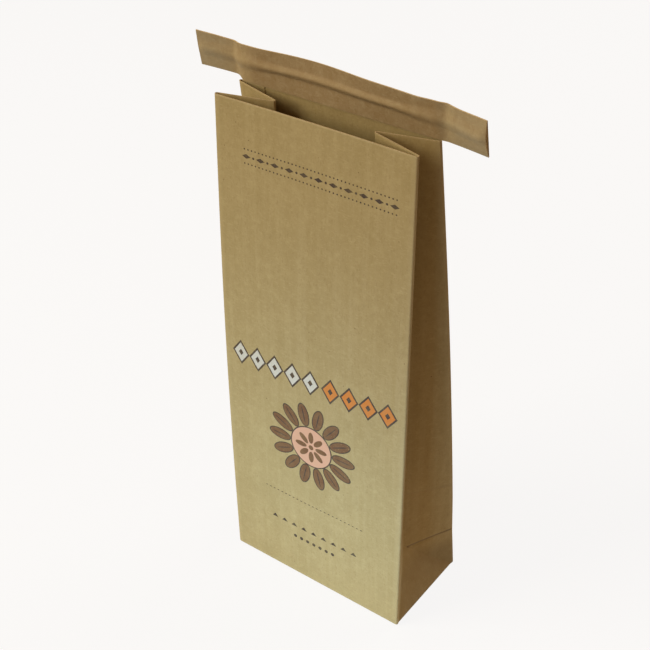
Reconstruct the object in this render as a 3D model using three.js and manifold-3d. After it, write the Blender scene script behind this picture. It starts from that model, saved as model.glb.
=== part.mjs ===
// A stand-up paper bag: block bottom, gusseted sides, and a wired paper strip glued across
// the tall back lip. Folding the lip down and bending the strip's ends round shuts the bag.
//
// Units are millimetres and +Z is up. The origin is the centre of the base, on the surface that
// the bag stands on. The front panel faces -Y, and the back panel and its lip are on the +Y side.

import * as THREE from 'three';
import { mergeVertices } from 'three/addons/utils/BufferGeometryUtils.js';
import Module from 'manifold-3d';

const wasm = await Module();
wasm.setup();

// Sheet
const paper = 0.35; // wall of the bag
const foldRadius = 0.8; // mid-surface radius of the four upright folds at the mouth
const baseFoldRadius = 1.6; // the same folds where they run into the base
const heelRadius = 1.5; // rounding between the walls and the base

// Bag
const bagWidth = 110; // across the front panel
const baseDepth = 58.4; // front to back at the base, which is also the width of a gusset's paper
const mouthDepth = 19.2; // front to back at the mouth, where the bag is half closed
const panelHeight = 281; // from the base to the cut edge of the front panel and the gussets
const frontLean = 3.9; // how far the front panel's top stands behind its foot
const sideSwell = 0.8; // how far the bag widens each way at half height
const panelSwell = 1.3; // how far the front and back folds stand out at half height
const frontCrown = 1.2; // further rise of the front panel's centre line at half height
const mouthDish = 0.8; // how far the front panel's cut edge sags inwards
const dishEase = 4; // how quickly that sag fades below the mouth

// Gusset
const creaseInset = 15; // push-in of the gusset's centre where the corner creases meet
const noseHalf = 0.5; // half width of the rounded centre fold
const gussetEase = 1.6; // how quickly the gusset closes above the creases
const backCreaseDip = 0.7; // valley left in the back panel by the flat-folding crease
const backCreaseReach = 26; // height over which that valley fades out

// Lap seam, along the back panel
const lapEdge = 2; // from the left fold to the outer layer's cut edge
const lapWidth = 12; // overlap of the two layers

// Bottom flaps, folded like an envelope
const flapLap = 14; // overlap of the back flap over the front flap
const baseLayers = 3;

// Lip and closure strip
const lipTrimLeft = 4; // the lip stands in from the bag's left side
const lipTrimRight = 1.2; // and from its right side
const stripLength = 157;
const stripWidth = 18.7;
const lipDrop = 0.7; // from the strip's top edge down to the lip's cut edge
const stripPly = 0.3; // each of the strip's two paper layers
const glueGap = 0.15; // between the lip and the strip

// Tie wire
const wireRadius = 0.45;
const wireClearance = 0.12;
const wireHeight = 10.4; // from the strip's lower edge to the wire
const recessSteps = 1; // steps along the strip from each cut end to the wire's end
const bumpReach = 2.8; // half width of the bump that the paper makes over the wire

// Hand-made bends of the strip, measured along X from the bag's centre. Angles are in degrees.
const bowBack = { centre: -13, reach: 40, lean: -9.1 };
const bowForward = { centre: 60, reach: 40, lean: 5.6 };
const curlEase = 1.5; // how late a wing's curl sets in
const riseEase = 1.3; // how late a wing's rise sets in
const rootReach = 12; // reach, to each side of the lip's edge, of a wing's lean at its root
const leftWing = {
  crease: 9.3, // length over which the wing leaves the line of the lip
  kickBack: 4.65,
  curl: 4.15,
  lean: 6.3,
  rootLean: -1.3,
  twist: -2.15,
  rise: 1.8,
  ridge: 0.2,
};
const rightWing = {
  crease: 4.6,
  kickBack: 0.65,
  curl: 1.45,
  lean: -2,
  rootLean: -3.3,
  twist: 5.2,
  rise: -0.8,
  ridge: 1.6,
};

// Mesh density
const frontCells = 12;
const backPitch = 6;
const foldCells = 4;
const gussetCells = 3;
const heelBreak = 0.3; // share of the heel's height at which its rounding has its middle level
const lowerCells = 4; // from the heel to the crease
const upperCells = 15; // from the crease to the mouth
const upperSpread = 1.15; // above 1, those levels lie closer together near the crease
const lipCells = 6;
const stripPitch = 2.5;
const flatCells = 4; // across the strip, to each side of the wire
const bumpCells = 8; // over the wire
const wireSides = 8;
const slopeStep = 0.5; // distance each way over which the strip's direction is taken
const weldDistance = 1e-4;

const kraft = { color: 0xb09a6c, roughness: 0.85, metalness: 0 };
const kraftStrip = { color: 0xa48d60, roughness: 0.8, metalness: 0 };
const softSteel = { color: 0x9a9c9e, roughness: 0.45, metalness: 0.9 };

// The base block folds flat along creases at half its depth above the base.
const creaseHeight = baseDepth / 2;
const baseThickness = baseLayers * paper;
const mouthInset = Math.sqrt((baseDepth / 2) ** 2 - (mouthDepth / 2) ** 2);
const mouthFrontY = -baseDepth / 2 + frontLean;
const mouthBackY = mouthFrontY + mouthDepth;
const backLeanAngle = Math.atan2(baseDepth / 2 - mouthBackY, panelHeight);
const stripSteps = Math.round(stripLength / stripPitch);
const stripStep = stripLength / stripSteps;

const clamp01 = (v) => Math.min(Math.max(v, 0), 1);
const smooth = (v) => clamp01(v) ** 2 * (3 - 2 * clamp01(v));
const bell = (v) => (Math.abs(v) < 1 ? Math.cos((v * Math.PI) / 2) ** 2 : 0);
const lerp = THREE.MathUtils.lerp;

// The paper tube

/** Inset of the walls at a height, where they round into the base. */
function heelInset(z) {
  if (z >= heelRadius) return 0;
  return heelRadius - Math.sqrt(heelRadius ** 2 - (heelRadius - z) ** 2);
}

/** Positions of the folds at a height: half width, front and back lines, and gusset push-in. */
function foldLines(z) {
  const share = z / panelHeight;
  const swell = Math.sin(Math.PI * share);
  const inset = heelInset(z);
  const dip = backCreaseDip * Math.max(0, 1 - Math.abs(z - creaseHeight) / backCreaseReach);
  const front = lerp(-baseDepth / 2, mouthFrontY, share) - panelSwell * swell + inset;
  const back = lerp(baseDepth / 2, mouthBackY, share) + panelSwell * swell - inset - dip;
  const above = clamp01((z - creaseHeight) / (panelHeight - creaseHeight));
  const closing = 1 - (1 - above) ** gussetEase;
  const pushIn = z < creaseHeight
    ? (creaseInset * z) / creaseHeight
    : lerp(creaseInset, mouthInset, closing);
  return {
    halfWidth: bagWidth / 2 + sideSwell * swell - inset,
    front,
    back,
    middle: (front + back) / 2,
    pushIn,
    radius: lerp(baseFoldRadius, foldRadius, share),
  };
}

/** Half length, along Y, of the gusset's innermost stretch: the base triangle, then the fold. */
function noseHalfLength(z, lines) {
  if (z >= creaseHeight) return noseHalf;
  const foot = (lines.back - lines.front) / 2 - lines.radius - noseHalf;
  return lerp(foot, noseHalf, z / creaseHeight);
}

/** Points round one upright fold, from the panel's direction to the line that meets `target`. */
function foldArc(centre, radius, target) {
  const toTarget = target.clone().sub(centre);
  const end = toTarget.angle() - Math.acos(Math.min(radius / toTarget.length(), 1));
  const start = -Math.PI / 2;
  const sweep = THREE.MathUtils.euclideanModulo(end - start, 2 * Math.PI);
  const points = [];
  for (let i = 0; i <= foldCells; i += 1) {
    const angle = start + (sweep * i) / foldCells;
    points.push(new THREE.Vector2(Math.cos(angle), Math.sin(angle)).multiplyScalar(radius).add(centre));
  }
  return points;
}

/** Front half of the right side at a height: the front fold and the front half of the gusset. */
function frontHalfSide(z, lines) {
  const centre = new THREE.Vector2(lines.halfWidth - lines.radius, lines.front + lines.radius);
  const nose = new THREE.Vector2(lines.halfWidth - lines.pushIn, lines.middle - noseHalfLength(z, lines));
  const points = foldArc(centre, lines.radius, nose);
  const foldEnd = points.at(-1);
  for (let i = 1; i <= gussetCells; i += 1) points.push(foldEnd.clone().lerp(nose, i / gussetCells));
  return points;
}

/** The same points mirrored from front to back, in running order. */
function mirroredToBack(points, lines) {
  return points.map((p) => new THREE.Vector2(p.x, 2 * lines.middle - p.y)).reverse();
}

/** Places across the back panel where a layer or the lip begins or ends, from right to left. */
function backStations() {
  const half = bagWidth / 2;
  const tick = paper / 3;
  const edges = [
    half - lipTrimRight,
    -half + lapEdge + lapWidth + tick,
    -half + lapEdge + lapWidth,
    -half + lipTrimLeft,
    -half + lapEdge + tick,
    -half + lapEdge,
  ].sort((a, b) => b - a);
  const stations = [];
  edges.forEach((edge, i) => {
    stations.push(edge);
    const gap = edge - (edges[i + 1] ?? edge);
    const cells = Math.ceil(gap / backPitch);
    for (let k = 1; k < cells; k += 1) stations.push(edge - (gap * k) / cells);
  });
  return stations;
}

const backColumns = backStations();

/** Closed outline of the sheet's mid-surface at a height, anticlockwise from the front left. */
function outlineAt(z) {
  const lines = foldLines(z);
  const reach = lines.halfWidth - lines.radius;
  const share = z / panelHeight;
  const sag = frontCrown * Math.sin(Math.PI * share) - mouthDish * share ** dishEase;
  const front = [];
  for (let i = 1; i < frontCells; i += 1) {
    const across = lerp(-1, 1, i / frontCells);
    front.push(new THREE.Vector2(reach * across, lines.front - sag * (1 - across ** 2)));
  }
  const rightFront = frontHalfSide(z, lines);
  const right = [...rightFront, ...mirroredToBack(rightFront, lines)];
  const mouthReach = bagWidth / 2 - foldRadius;
  const back = backColumns.map((x) => new THREE.Vector2((x * reach) / mouthReach, lines.back));
  const left = right.map((p) => new THREE.Vector2(-p.x, p.y)).reverse();
  return { points: [...front, ...right, ...back, ...left], firstBack: front.length + right.length };
}

/** Faces of the sheet measured outwards from its mid-surface, at a place across the back panel. */
function lapFaces(x) {
  const outerEdge = -bagWidth / 2 + lapEdge;
  const innerEdge = outerEdge + lapWidth;
  if (x <= outerEdge) return { outer: paper / 2, inner: -paper / 2 };
  if (x <= innerEdge) return { outer: paper, inner: -paper };
  const settle = (paper / 2) * (1 - (x - innerEdge) / (bagWidth / 2 - innerEdge));
  return { outer: paper / 2 + settle, inner: -paper / 2 + settle };
}

/** Mitred outward normal of each corner of a closed anticlockwise outline. */
function outlineNormals(points) {
  const count = points.length;
  return points.map((p, i) => {
    const before = p.clone().sub(points[(i + count - 1) % count]).normalize();
    const after = points[(i + 1) % count].clone().sub(p).normalize();
    const mean = before.clone().add(after).normalize();
    return new THREE.Vector2(mean.y, -mean.x).divideScalar(Math.max(mean.dot(after), 0.5));
  });
}

/** One level of the tube's outer or inner face. */
function tubeRow(z, side) {
  const { points, firstBack } = outlineAt(z);
  const normals = outlineNormals(points);
  return points.map((p, i) => {
    const station = backColumns[i - firstBack];
    const faces = station === undefined ? { outer: paper / 2, inner: -paper / 2 } : lapFaces(station);
    const q = p.clone().addScaledVector(normals[i], faces[side]);
    return new THREE.Vector3(q.x, q.y, z);
  });
}

// The strip's space

const stripStart = mouthBackY - paper - glueGap;

/** Shape that one wing adds beyond the lip, at a distance along X from the bag's centre. */
function wingShape(distance, start, wing) {
  const left = distance - start;
  const whole = stripLength / 2 - start;
  const crease = smooth(left / wing.crease);
  const beyond = clamp01((left - wing.crease / 2) / (whole - wing.crease / 2));
  const beside = clamp01((distance - bagWidth / 2) / (stripLength / 2 - bagWidth / 2));
  return {
    back: wing.kickBack * crease - wing.curl * beyond ** curlEase,
    lean: wing.lean * crease + wing.twist * beyond + wing.rootLean * bell(left / rootReach),
    rise: wing.rise * beside ** riseEase,
    ridge: wing.ridge * smooth(left / whole),
  };
}

/** Place, lean and ridge of the strip's back face at one station along X. */
function stripStation(s) {
  const lipReach = bagWidth / 2 - (s < 0 ? lipTrimLeft : lipTrimRight);
  const wing = wingShape(Math.abs(s), lipReach, s < 0 ? leftWing : rightWing);
  const bows = [bowBack, bowForward].map((bow) => bow.lean * bell((s - bow.centre) / bow.reach));
  return {
    origin: new THREE.Vector3(s, stripStart + wing.back, panelHeight + 2 * glueGap + wing.rise),
    lean: backLeanAngle + THREE.MathUtils.degToRad(wing.lean + bows[0] + bows[1]),
    ridge: wing.ridge,
  };
}

/** Maps strip space (along X, up the strip, out of its front) to the bag's space. */
function stripPoint(s, up, out) {
  const here = stripStation(s);
  const along = stripStation(s + slopeStep).origin.sub(stripStation(s - slopeStep).origin).normalize();
  const upright = new THREE.Vector3(-along.z, -Math.sin(here.lean), Math.cos(here.lean)).normalize();
  const front = new THREE.Vector3().crossVectors(upright, along).negate().normalize();
  const across = up / stripWidth;
  const ridge = here.ridge * 4 * across * (1 - across);
  return here.origin.addScaledVector(upright, up).addScaledVector(front, out + ridge);
}

/** Bends a straight body, drawn with x up the strip, y out of its front and z along it. */
function bentAlongStrip(geometry, start) {
  const position = geometry.getAttribute('position');
  for (let i = 0; i < position.count; i += 1) {
    const p = stripPoint(start + position.getZ(i), position.getX(i), position.getY(i));
    position.setXYZ(i, p.x, p.y, p.z);
  }
  return geometry;
}

/** One level of the lip's outer or inner face. Columns off the back panel repeat the mouth's. */
function lipRow(up, side, mouthRow, firstBack) {
  return mouthRow.map((p, i) => {
    const station = backColumns[i - firstBack];
    if (station === undefined) return p;
    return stripPoint(station, up, -(paper + glueGap + lapFaces(station)[side]));
  });
}

// Solids

/** Closes two faces of a sheet into one body. Rows run up, and each row's columns close round. */
function sheetBody(outerRows, innerRows, isPresent) {
  const columns = outerRows[0].length;
  const triangles = [];
  const quad = (a, b, c, d) => triangles.push(a, b, c, a, c, d);
  const present = (i, j) => j < outerRows.length - 1 && isPresent((i + columns) % columns, j);
  for (let j = 0; j < outerRows.length - 1; j += 1) {
    for (let i = 0; i < columns; i += 1) {
      if (!present(i, j)) continue;
      const k = (i + 1) % columns;
      const [a, b, c, d] = [outerRows[j][i], outerRows[j][k], outerRows[j + 1][k], outerRows[j + 1][i]];
      const [p, q, r, s] = [innerRows[j][i], innerRows[j][k], innerRows[j + 1][k], innerRows[j + 1][i]];
      quad(a, b, c, d);
      quad(p, s, r, q);
      if (!present(i, j + 1)) quad(d, c, r, s);
      if (!present(i + 1, j)) quad(b, q, r, c);
      if (!present(i - 1, j)) quad(a, d, s, p);
    }
  }
  const cap = (row, flipped) => {
    const outline = row.map((p) => new THREE.Vector2(p.x, p.y));
    for (const [a, b, c] of THREE.ShapeUtils.triangulateShape(outline, [])) {
      triangles.push(row[a], row[flipped ? c : b], row[flipped ? b : c]);
    }
  };
  cap(outerRows[0], true);
  cap(innerRows[0], false);
  return new THREE.BufferGeometry().setFromPoints(triangles);
}

/** Merges a triangle soup into the solid that joins and cuts work on. */
function toSolid(geometry) {
  geometry.deleteAttribute('normal');
  geometry.deleteAttribute('uv');
  const merged = mergeVertices(geometry, weldDistance);
  return new wasm.Manifold(new wasm.Mesh({
    numProp: 3,
    vertProperties: new Float32Array(merged.getAttribute('position').array),
    triVerts: new Uint32Array(merged.index.array),
  }));
}

function toGeometry(solid) {
  const { vertProperties, triVerts } = solid.getMesh();
  const geometry = new THREE.BufferGeometry();
  geometry.setAttribute('position', new THREE.BufferAttribute(vertProperties, 3));
  geometry.setIndex(new THREE.BufferAttribute(triVerts, 1));
  return geometry;
}

/** Upright prism over a plan outline, running from well below the base to above its layers. */
function planPrism(corners) {
  const shape = new THREE.Shape(corners.map(([x, y]) => new THREE.Vector2(x, y)));
  const prism = new THREE.ExtrudeGeometry(shape, { depth: 4 * baseThickness, bevelEnabled: false });
  return toSolid(prism.translate(0, 0, -2 * baseThickness));
}

/** Wedge under the base: nothing thick at `from`, and `rise` thick at `to`, along +Y. */
function layerWedge(from, to, rise) {
  const skirt = -baseThickness;
  const profile = new THREE.Shape([
    new THREE.Vector2(from, skirt),
    new THREE.Vector2(to, skirt),
    new THREE.Vector2(to, rise),
    new THREE.Vector2(from, 0),
  ]);
  const wedge = new THREE.ExtrudeGeometry(profile, { depth: 2 * bagWidth, bevelEnabled: false });
  wedge.translate(0, 0, -bagWidth);
  wedge.applyMatrix4(new THREE.Matrix4().set(0, 0, 1, 0, 1, 0, 0, 0, 0, 1, 0, 0, 0, 0, 0, 1));
  return toSolid(wedge);
}

/** Plan of a bottom flap: full width at its fold, with 45 degree ends, up to its free edge. */
function flapPlan(side) {
  const half = bagWidth / 2;
  const foldY = (side * baseDepth) / 2;
  const freeY = (-side * flapLap) / 2;
  const freeHalf = half - Math.abs(foldY - freeY);
  const corners = [[-half, foldY], [half, foldY], [freeHalf, freeY], [-freeHalf, freeY]];
  return side < 0 ? corners : corners.reverse();
}

/** Layer edges on the underside: the back flap lies lowest, over the front and the end flaps. */
function cutBottomFlaps(bag) {
  const frontFlap = planPrism(flapPlan(-1));
  const backFlap = planPrism(flapPlan(1));
  const foot = baseDepth / 2 - heelRadius;
  const frontStep = layerWedge(-foot, flapLap / 2, paper).intersect(frontFlap).subtract(backFlap);
  const inner = bagWidth / 2 - baseDepth / 2;
  const end = layerWedge(-bagWidth / 2 + heelRadius, -inner, 2 * paper);
  const ends = [90, -90].map((turn) => end.rotate([0, 0, turn]).subtract(frontFlap).subtract(backFlap));
  return bag.subtract(frontStep).subtract(ends[0]).subtract(ends[1]);
}

/** Levels of the tube, closer together where the walls turn into the base and round the crease. */
function tubeLevels() {
  const levels = [0, heelRadius * heelBreak, heelRadius];
  for (let i = 1; i <= lowerCells; i += 1) levels.push(lerp(heelRadius, creaseHeight, i / lowerCells));
  for (let i = 1; i <= upperCells; i += 1) {
    levels.push(lerp(creaseHeight, panelHeight, (i / upperCells) ** upperSpread));
  }
  return levels;
}

/** Level of the inner face that belongs to a level of the outer one: it starts on the floor. */
function innerLevel(z) {
  return z + baseThickness * Math.max(0, 1 - z / creaseHeight);
}

function bagGeometry() {
  const levels = tubeLevels();
  const { firstBack } = outlineAt(0);
  const outerRows = levels.map((z) => tubeRow(z, 'outer'));
  const innerRows = levels.map((z) => tubeRow(innerLevel(z), 'inner'));
  const mouth = levels.length - 1;
  const mouthRows = { outer: outerRows[mouth], inner: innerRows[mouth] };
  for (let k = 1; k <= lipCells; k += 1) {
    const up = ((stripWidth - lipDrop) * k) / lipCells;
    outerRows.push(lipRow(up, 'outer', mouthRows.outer, firstBack));
    innerRows.push(lipRow(up, 'inner', mouthRows.inner, firstBack));
  }
  const lipRight = bagWidth / 2 - lipTrimRight;
  const lipLeft = -bagWidth / 2 + lipTrimLeft;
  const onLip = (column) => {
    const [from, to] = [backColumns[column - firstBack], backColumns[column - firstBack + 1]];
    return from !== undefined && to !== undefined && from <= lipRight && to >= lipLeft;
  };
  const body = sheetBody(outerRows, innerRows, (i, j) => j < mouth || onLip(i));
  return toGeometry(cutBottomFlaps(toSolid(body)));
}

/** Section of the strip: two plies that part round the wire. The back face is flat. */
function stripSection() {
  const channelRadius = wireRadius + wireClearance;
  const channelOut = stripPly + channelRadius;
  const crest = 2 * channelRadius;
  const front = (up) => 2 * stripPly + crest * bell((up - wireHeight) / bumpReach);
  const outline = [];
  const run = (from, to, cells, height) => {
    for (let i = 0; i < cells; i += 1) {
      const up = lerp(from, to, i / cells);
      outline.push(new THREE.Vector2(up, height(up)));
    }
  };
  run(0, stripWidth, 2 * flatCells, () => 0);
  run(stripWidth, wireHeight + bumpReach, flatCells, front);
  run(wireHeight + bumpReach, wireHeight - bumpReach, bumpCells, front);
  run(wireHeight - bumpReach, 0, flatCells, front);
  outline.push(new THREE.Vector2(0, front(0)));
  const section = new THREE.Shape(outline);
  section.holes.push(new THREE.Path(wireOutline(channelRadius, channelOut)));
  return { section, channelOut };
}

function wireOutline(radius, out) {
  const points = [];
  for (let i = 0; i < wireSides; i += 1) {
    const angle = (2 * Math.PI * i) / wireSides;
    points.push(new THREE.Vector2(wireHeight + radius * Math.cos(angle), out + radius * Math.sin(angle)));
  }
  return points;
}

/** Body of one section along the strip's middle, with its levels on the strip's own steps. */
function bentExtrusion(section, steps) {
  const depth = steps * stripStep;
  const straight = new THREE.ExtrudeGeometry(section, { depth, steps, bevelEnabled: false });
  return toGeometry(toSolid(bentAlongStrip(straight, -depth / 2)));
}

function closureStripGeometry() {
  return bentExtrusion(stripSection().section, stripSteps);
}

function tieWireGeometry() {
  const section = new THREE.Shape(wireOutline(wireRadius, stripSection().channelOut));
  return bentExtrusion(section, stripSteps - 2 * recessSteps);
}

function namedMesh(name, geometry, finish) {
  geometry.computeVertexNormals();
  const mesh = new THREE.Mesh(geometry, new THREE.MeshStandardMaterial(finish));
  mesh.name = name;
  return mesh;
}

const group = new THREE.Group();
group.add(
  namedMesh('bag', bagGeometry(), kraft),
  namedMesh('closure_strip', closureStripGeometry(), kraftStrip),
  namedMesh('tie_wire', tieWireGeometry(), softSteel),
);

export default group;
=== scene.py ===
"""Looks for a stand-up kraft paper bag with folded gussets and a wired closure strip.

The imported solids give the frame. Every piece here is worked out from the same sizes, in
millimetres, with +Z up, the front panel facing -Y, and the origin under the base's centre.
"""

import logging
import math
from dataclasses import dataclass, field
from enum import Enum
from typing import Any, Callable, Sequence

import bpy
import numpy as np
from mathutils import Matrix, Vector
from mathutils.geometry import tessellate_polygon


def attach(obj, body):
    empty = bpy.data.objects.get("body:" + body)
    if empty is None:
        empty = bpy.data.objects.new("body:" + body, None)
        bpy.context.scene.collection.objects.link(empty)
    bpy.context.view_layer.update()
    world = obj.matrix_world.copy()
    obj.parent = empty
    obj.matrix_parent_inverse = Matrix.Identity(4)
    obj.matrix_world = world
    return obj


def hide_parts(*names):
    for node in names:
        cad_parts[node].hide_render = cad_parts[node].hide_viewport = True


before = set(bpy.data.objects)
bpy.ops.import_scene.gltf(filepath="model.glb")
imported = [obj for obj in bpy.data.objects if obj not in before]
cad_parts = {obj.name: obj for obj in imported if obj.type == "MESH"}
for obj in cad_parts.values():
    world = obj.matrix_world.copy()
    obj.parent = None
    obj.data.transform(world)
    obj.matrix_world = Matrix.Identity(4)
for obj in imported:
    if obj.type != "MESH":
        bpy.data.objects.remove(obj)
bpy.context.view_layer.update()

logging.basicConfig(level=logging.INFO, format="%(message)s")
log = logging.getLogger("paper_bag")

MM = 0.001
SHARP_ANGLE = math.radians(38)
# fold_wear holds wear and, on the strip, painted highlights; the other attribute holds painted shade
WEAR_HIGHLIGHT, PAINTED_SHADE = "fold_wear", "fold_shade"  # attributes that the kraft reads
KRAFT, CUT = 0, 1  # material slots of a paper piece: its faces, and its cut edges

Pair = tuple[float, float]
Triple = tuple[float, float, float]
Material = bpy.types.Material
Mesh = bpy.types.Mesh
Piece = bpy.types.Object
Socket = bpy.types.NodeSocket
Tree = bpy.types.NodeTree


# Small sums


def clamp01(v: float) -> float:
    """Holds v between 0 and 1."""
    return min(max(v, 0.0), 1.0)


def smooth(v: float) -> float:
    """Eases from 0 to 1 as v runs from 0 to 1."""
    c = clamp01(v)
    return c * c * (3 - 2 * c)


def bell(v: float) -> float:
    """A hump that is 1 at 0 and runs out at -1 and 1."""
    return math.cos(v * math.pi / 2) ** 2 if abs(v) < 1 else 0.0


def lerp(a: float, b: float, t: float) -> float:
    """The value a share t of the way from a to b."""
    return a + (b - a) * t


def linear_colour(hex_colour: str) -> tuple[float, float, float, float]:
    """Turns an sRGB hex colour into the linear one that a shader takes.

    Args:
        hex_colour: A hash and six hexadecimal digits.

    Returns:
        Red, green, blue and full alpha.
    """
    channels = [int(hex_colour[i:i + 2], 16) / 255 for i in (1, 3, 5)]
    straight = [c / 12.92 if c <= 0.04045 else ((c + 0.055) / 1.055) ** 2.4 for c in channels]
    return (*straight, 1.0)


def paint(colour: Any) -> Any:
    """A hex colour turned linear, or anything else as it is."""
    return linear_colour(colour) if isinstance(colour, str) else colour


# Nodes


def add_node(
    tree: Tree,
    kind: str,
    settings: dict[str, Any] | None = None,
    inputs: dict[str | int, Any] | None = None,
) -> bpy.types.Node:
    """Adds a node with its settings, its input values and its links.

    Args:
        tree: Tree that gets the node.
        kind: Blender's name for the node.
        settings: Values of the node's own properties.
        inputs: A value, or the socket to link from, for each input by name or number.

    Returns:
        The new node.
    """
    made = tree.nodes.new(kind)
    for name, value in (settings or {}).items():
        setattr(made, name, value)
    for key, value in (inputs or {}).items():
        if isinstance(value, Socket):
            tree.links.new(value, made.inputs[key])
        else:
            made.inputs[key].default_value = value
    return made


class Graph:
    """A node tree with short ways to add to it."""

    def __init__(self, tree: Any) -> None:
        """Takes the tree to work on."""
        self.tree = tree

    def add(self, kind: str, inputs: dict | None = None, **settings: Any) -> Any:
        """Adds a node and gives its outputs."""
        return add_node(self.tree, kind, settings, inputs).outputs

    def sum(self, operation: str, *values: Any) -> Socket:
        """Joins numbers or sockets with one sum, by Blender's name for it."""
        return self.add("ShaderNodeMath", dict(enumerate(values)), operation=operation)[0]

    def seen(self) -> Socket:
        """Tells a ray that the camera sees, also by gloss or through glass, from stray light.

        Returns:
            A value socket, 1 for such a ray.
        """
        path = self.add("ShaderNodeLightPath")
        seen = self.sum("MAXIMUM", path["Is Camera Ray"], path["Is Glossy Ray"])
        return self.sum("MAXIMUM", seen, path["Is Transmission Ray"])


class Recipe(Graph):
    """A material in the making, with short ways to add what the finishes share."""

    def __init__(self, name: str) -> None:
        """Starts an empty node material.

        Args:
            name: Name of the real material and its finish.
        """
        self.material = bpy.data.materials.new(name)
        self.material.use_nodes = True
        super().__init__(self.material.node_tree)
        self.tree.nodes.clear()
        self.place = self.add("ShaderNodeTexCoord")["Object"]

    def noise(self, grain: float | Triple, detail: float, roughness: float) -> Socket:
        """Adds a noise whose grain has a real size.

        Args:
            grain: Size of one blotch in millimetres, or its sizes along X, Y and Z.
            detail: Octaves of the noise.
            roughness: How strong the finer octaves are.

        Returns:
            The noise's value socket, from 0 to 1.
        """
        scale = tuple(1 / (g * MM) for g in (grain if isinstance(grain, tuple) else (grain,) * 3))
        mapped = self.add("ShaderNodeMapping", {"Vector": self.place, "Scale": scale})[0]
        inputs = {"Vector": mapped, "Scale": 1.0, "Detail": detail, "Roughness": roughness}
        return self.add("ShaderNodeTexNoise", inputs)[0]

    def remap(self, value: Socket, low: float, high: float, to: Pair = (0.0, 1.0)) -> Socket:
        """Stretches the part of a value from low to high to another range, and clamps the rest."""
        inputs = {0: value, 1: low, 2: high, 3: to[0], 4: to[1]}
        return self.add("ShaderNodeMapRange", inputs, clamp=True)[0]

    def mix(self, share: Any, first: Any, second: Any) -> Socket:
        """Mixes two colours, given as hex or as sockets, with a share of the second."""
        inputs = {0: share, 6: paint(first), 7: paint(second)}
        return self.add("ShaderNodeMix", inputs, data_type="RGBA")[2]

    def attribute(self, name: str) -> Socket:
        """Reads a value that the mesh keeps at its points."""
        return self.add("ShaderNodeAttribute", attribute_name=name)[2]

    def bump(self, strength: float, depth: float, height: Socket) -> Socket:
        """Turns a height pattern, some millimetres deep, into a bent normal."""
        inputs = {"Strength": strength, "Distance": depth * MM, "Height": height}
        return self.add("ShaderNodeBump", inputs)[0]

    def finish(self, surface: Socket | dict[str, Any]) -> Material:
        """Ends the material.

        Args:
            surface: A shader's socket, or the inputs of a principled shader.

        Returns:
            The finished material.
        """
        if isinstance(surface, dict):
            surface = self.add("ShaderNodeBsdfPrincipled", surface)[0]
        self.add("ShaderNodeOutputMaterial", {"Surface": surface})
        return self.material


# Finishes


@dataclass(frozen=True)
class Tint:
    """A colour laid on where a noise runs from `none` to `full`, at most `share` of it."""

    colour: str
    none: float
    full: float
    share: float

    def over(self, made: Recipe, noise: Socket, base: Any) -> Socket:
        """Lays the tint over a base colour, where the noise says."""
        share = made.remap(noise, self.none, self.full, (0.0, self.share))
        return made.mix(share, base, self.colour)


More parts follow.
